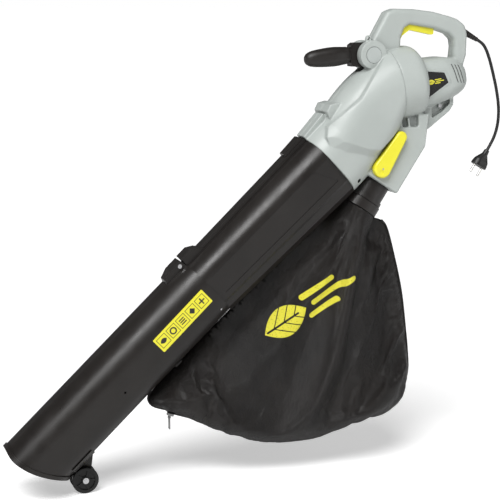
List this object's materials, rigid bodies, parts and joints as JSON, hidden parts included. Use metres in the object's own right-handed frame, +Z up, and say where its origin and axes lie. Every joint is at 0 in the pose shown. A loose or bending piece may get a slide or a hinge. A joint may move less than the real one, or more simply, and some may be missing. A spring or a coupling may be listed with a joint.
{
  "type": "leaf vacuum mulcher",
  "caption": "Hand-held electric garden vacuum with suction tube, shredding fan, collection bag, mode lever and front handle.",
  "frame": {"origin": "centre of the hand on the main handle, on the plane where the housing splits", "axes": "+X from the nozzle towards the cord, +Y to the tool's right-hand side, +Z up with the suction tube at 43.5 degrees"},
  "size_m": [1.0545, 0.154, 0.9394],
  "materials": {
    "grey_plastic": "satin",
    "black_plastic": "satin",
    "dark_grey_plastic": "satin",
    "yellow_plastic": "gloss",
    "wheel_plastic": "satin",
    "black_rubber": "matte",
    "cord_jacket": "satin",
    "steel": "satin",
    "laminations": "matte",
    "copper": "gloss",
    "brass": "satin",
    "brass_pins": "polished",
    "carbon": "matte",
    "bag_fabric": "matte",
    "zip_tape": "matte",
    "zip_metal": "satin",
    "label_print": "satin",
    "badge_print": "satin"
  },
  "bodies": {
    "root": {"lower_tube": "black_plastic", "upper_tube": "black_plastic", "tube_screws": "steel", "housing_left": "grey_plastic", "housing_right": "grey_plastic", "housing_screws": "steel", "front_bearing": "steel", "rear_bearing": "steel", "stator": "laminations", "field_coils": "copper", "brush_holders": "brass", "carbon_brushes": "carbon", "trigger_pin": "steel", "trigger_spring": "steel", "switch_body": "black_plastic", "switch_contacts": "brass", "strain_relief": "black_rubber", "cord": "cord_jacket", "plug_body": "cord_jacket", "plug_pins": "brass_pins", "pivot_bolt": "steel", "pivot_nut": "steel", "pivot_caps": "dark_grey_plastic", "bag_spout": "black_plastic", "bag_collar": "black_plastic", "bag": "bag_fabric", "zip_tape": "zip_tape", "wheel_bracket": "black_plastic", "axle": "steel", "axle_clips": "steel", "label": "label_print", "badges": "badge_print", "bag_hook": "black_plastic"},
    "rotor": {"motor_shaft": "steel", "impeller": "black_plastic", "shredder_blade": "steel", "impeller_nut": "steel", "cooling_fan": "black_plastic", "armature_core": "laminations", "armature_windings": "copper", "commutator": "copper"},
    "trigger": {"trigger": "yellow_plastic"},
    "mode_lever": {"mode_lever": "yellow_plastic", "lever_shaft": "black_plastic", "lever_screw": "steel", "outlet_flap": "black_plastic"},
    "front_handle": {"front_handle": "black_plastic", "front_grip": "black_rubber"},
    "wheel_left": {"wheel_left": "wheel_plastic"},
    "wheel_right": {"wheel_right": "wheel_plastic"},
    "zip_slider": {"zip_slider": "zip_metal"},
    "zip_pull": {"zip_pull": "zip_metal"}
  },
  "joints": [
    {"name": "fan_spin", "type": "hinge", "parent": "root", "child": "rotor", "pos_m": [-0.075, 0, -0.134], "axis": [0.9848, 0, 0.1736], "continuous": true},
    {"name": "trigger_squeeze", "type": "hinge", "parent": "root", "child": "trigger", "pos_m": [-0.06, 0, -0.024], "axis": [0, -1, 0], "range_deg": [0, 6], "stiffness_Nm_per_rad": 1.2, "springref_deg": -14.32, "deforming": ["trigger_spring"]},
    {"name": "mode_lever_turn", "type": "hinge", "parent": "root", "child": "mode_lever", "pos_m": [-0.1126, 0, -0.2951], "axis": [0, 1, 0], "range_deg": [0, 60]},
    {"name": "front_handle_tilt", "type": "hinge", "parent": "root", "child": "front_handle", "pos_m": [-0.124, 0, -0.07], "axis": [0, 1, 0], "range_deg": [-8, 40]},
    {"name": "wheel_left_spin", "type": "hinge", "parent": "root", "child": "wheel_left", "pos_m": [-0.72, 0, -0.892], "axis": [0, 1, 0], "continuous": true},
    {"name": "wheel_right_spin", "type": "hinge", "parent": "root", "child": "wheel_right", "pos_m": [-0.72, 0, -0.892], "axis": [0, 1, 0], "continuous": true},
    {"name": "zip_slide", "type": "slide", "parent": "root", "child": "zip_slider", "axis": [0.9442, 0, -0.3294], "range_m": [0, 0.19]},
    {"name": "zip_pull_swing", "type": "hinge", "parent": "zip_slider", "child": "zip_pull", "pos_m": [-0.5444, 0, -0.78456], "axis": [0, 1, 0], "range_deg": [-55, 55]}
  ]
}
